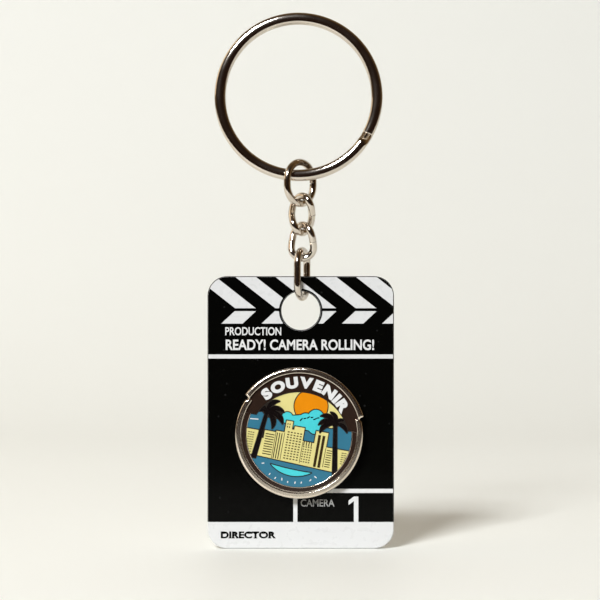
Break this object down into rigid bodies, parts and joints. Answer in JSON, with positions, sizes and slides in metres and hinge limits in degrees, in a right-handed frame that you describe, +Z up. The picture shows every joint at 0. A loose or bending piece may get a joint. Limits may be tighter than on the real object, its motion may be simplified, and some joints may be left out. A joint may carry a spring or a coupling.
{
  "type": "keychain",
  "caption": "Souvenir keychain: split ring, short curb chain, and a clapper-style plastic tag with a riveted enamel badge of a palm-lined skyline.",
  "frame": {"origin": "centre of the split ring's eye", "axes": "+Z up as the keychain hangs, +Y along the axis of the ring's eye towards the tag's back, +X to the right as seen from the printed face"},
  "size_m": [0.0332, 0.0065, 0.0955],
  "materials": {
    "nickel": "polished nickel plate",
    "badge_metal": "polished, warm nickel plate on a struck base",
    "tag_plastic": "white, smooth, with black print on the front",
    "ink_black": "printed black, smooth",
    "ink_white": "printed white, smooth",
    "ink_grey": "printed grey, smooth",
    "washer_plastic": "natural nylon",
    "enamel_brown": "hard enamel, ground flat and glossy",
    "enamel_cream": "hard enamel, ground flat and glossy",
    "enamel_orange": "hard enamel, ground flat and glossy",
    "enamel_teal": "hard enamel, ground flat and glossy",
    "enamel_blue": "hard enamel, ground flat and glossy",
    "enamel_black": "hard enamel, ground flat and glossy"
  },
  "bodies": {
    "ring": {"split_ring": "nickel"},
    "link_1": {"chain_link_1": "nickel"},
    "link_2": {"chain_link_2": "nickel"},
    "link_3": {"chain_link_3": "nickel"},
    "link_4": {"chain_link_4": "nickel"},
    "tag": {"tag_plate": "tag_plastic", "spacer_washer": "washer_plastic"},
    "badge": {"badge_base": "badge_metal", "enamel_banner": "enamel_brown", "enamel_rim": "enamel_brown", "enamel_dawn_sky": "enamel_cream", "enamel_sun": "enamel_orange", "enamel_cloud": "enamel_teal", "enamel_blue_sky": "enamel_blue", "enamel_skyline": "enamel_cream", "enamel_water": "enamel_blue", "enamel_wave": "enamel_teal", "enamel_palm_left": "enamel_black", "enamel_palm_right": "enamel_black", "badge_rivet": "badge_metal", "rear_washer": "nickel"}
  },
  "joints": [
    {"name": "ring_to_link_1", "type": "hinge", "parent": "ring", "child": "link_1", "pos_m": [0.0003, 0, -0.014], "axis": [1, 0, 0], "range_deg": [-60, 60]},
    {"name": "link_1_to_link_2", "type": "hinge", "parent": "link_1", "child": "link_2", "pos_m": [0.0006, 0, -0.01905], "axis": [0.7071, 0.7071, 0], "range_deg": [-15, 45]},
    {"name": "link_2_to_link_3", "type": "hinge", "parent": "link_2", "child": "link_3", "pos_m": [0.0007, 0, -0.02281], "axis": [0.7071, -0.7071, 0], "range_deg": [-35, 35]},
    {"name": "link_3_to_link_4", "type": "hinge", "parent": "link_3", "child": "link_4", "pos_m": [0.00065, 0, -0.02881], "axis": [0.9962, -0.0872, 0], "range_deg": [-60, 60]},
    {"name": "link_4_to_tag", "type": "hinge", "parent": "link_4", "child": "tag", "pos_m": [0.00065, 0, -0.03579], "axis": [0, 1, 0], "range_deg": [-20, 20]},
    {"name": "badge_turn", "type": "hinge", "parent": "tag", "child": "badge", "pos_m": [0.0001, 0, -0.0601], "axis": [0, 1, 0], "continuous": true}
  ]
}
